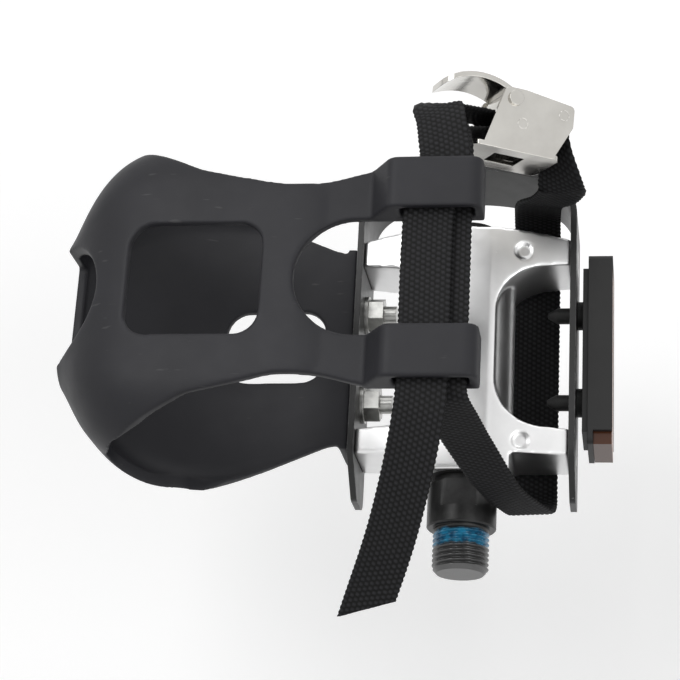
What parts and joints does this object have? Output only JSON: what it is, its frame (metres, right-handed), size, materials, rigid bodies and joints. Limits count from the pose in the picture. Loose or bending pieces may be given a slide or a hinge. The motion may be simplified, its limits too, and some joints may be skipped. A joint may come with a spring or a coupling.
{
  "type": "toe clip pedal",
  "caption": "Right-hand platform pedal: cast body on a spindle with ball bearings, bent plate cage, moulded toe clip, webbing strap with a cam buckle and a rear reflector.",
  "frame": {"origin": "on the spindle axis, at the shoulder face that seats on the crank arm", "axes": "+Y runs along the spindle away from the crank, -X points to the toe, +Z is the foot side"},
  "size_m": [0.1363, 0.1328, 0.0755],
  "materials": {
    "black_steel": "black oxide",
    "bearing_steel": "ground",
    "zinc_steel": "zinc plated",
    "seal_rubber": "matt",
    "black_plastic": "moulded",
    "cast_aluminium": "polished casting",
    "cage_black": "black paint",
    "clip_plastic": "moulded",
    "amber_lens": "prismatic",
    "buckle_chrome": "nickel plated",
    "webbing": "woven nylon"
  },
  "bodies": {
    "spindle": {"spindle": "black_steel", "adjusting_cone": "bearing_steel", "lock_washer": "zinc_steel", "lock_nut": "zinc_steel"},
    "pedal": {"inboard_cup": "bearing_steel", "outboard_cup": "bearing_steel", "inboard_seal": "seal_rubber", "dust_cap": "black_plastic", "pedal_body": "cast_aluminium", "cage": "cage_black", "cage_screws": "zinc_steel", "toe_clip": "clip_plastic", "clip_bolts": "zinc_steel", "clip_washers": "zinc_steel", "clip_nuts": "zinc_steel", "reflector_housing": "black_plastic", "reflector_lens": "amber_lens", "buckle_frame": "buckle_chrome", "buckle_bars": "buckle_chrome", "lever_pin": "buckle_chrome", "strap": "webbing"},
    "balls": {"inboard_balls": "bearing_steel", "outboard_balls": "bearing_steel"},
    "lever": {"buckle_lever": "buckle_chrome"}
  },
  "joints": [
    {"name": "pedal_spin", "type": "hinge", "parent": "spindle", "child": "pedal", "pos_m": [0, 0.046, 0], "axis": [0, 1, 0], "continuous": true},
    {"name": "ball_orbit", "type": "hinge", "parent": "spindle", "child": "balls", "pos_m": [0, 0.046, 0], "axis": [0, 1, 0], "continuous": true},
    {"name": "lever_swing", "type": "hinge", "parent": "pedal", "child": "lever", "pos_m": [0.01136, 0.09668, 0.0435], "axis": [-0.4689, 0.1603, -0.8686], "range_deg": [0, 70]}
  ],
  "couplings": [
    {"joint": "ball_orbit", "follows": "pedal_spin", "ratio": 0.6185}
  ]
}
